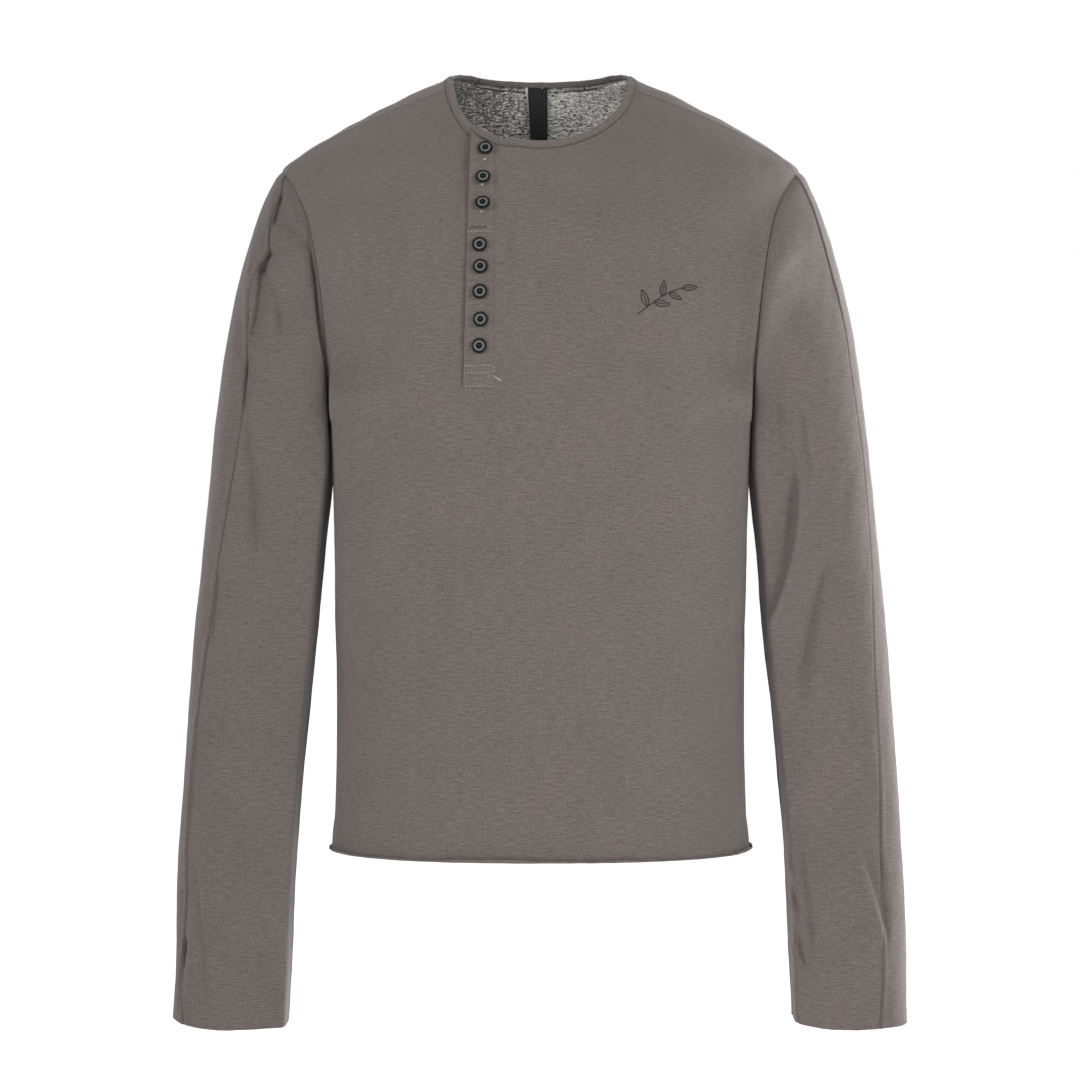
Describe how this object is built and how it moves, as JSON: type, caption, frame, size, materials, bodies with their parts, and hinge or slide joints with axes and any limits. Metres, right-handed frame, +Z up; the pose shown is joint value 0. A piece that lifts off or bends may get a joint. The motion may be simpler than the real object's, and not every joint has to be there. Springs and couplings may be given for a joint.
{
  "type": "henley shirt",
  "caption": "Long-sleeved henley shirt filled out as if worn, with a bound round neck and an off-centre buttoned placket.",
  "frame": {"origin": "on the middle line at the height of the shoulders beside the neck, where the wearer's shoulders hold the shirt up", "axes": "+Z up, the front faces -Y, +X towards the wearer's left sleeve"},
  "size_m": [0.631, 0.242, 0.8274],
  "materials": {
    "jersey": "taupe grey melange slub jersey",
    "binding_jersey": "taupe grey jersey binding, topstitched",
    "button_resin": "satin grey resin with a dark rim",
    "black_ribbon": "black woven satin ribbon",
    "white_ribbon": "white printed-tape ribbon, bare"
  },
  "bodies": {
    "root": {"front": "jersey", "back": "jersey", "sleeve_left_front": "jersey", "sleeve_left_back": "jersey", "sleeve_right_front": "jersey", "sleeve_right_back": "jersey", "placket_over": "jersey", "placket_under": "jersey", "neck_binding": "binding_jersey", "button_1": "button_resin", "button_2": "button_resin", "button_3": "button_resin", "button_4": "button_resin", "button_5": "button_resin", "button_6": "button_resin", "button_7": "button_resin", "button_8": "button_resin", "neck_label": "black_ribbon", "care_label": "white_ribbon"}
  },
  "joints": []
}
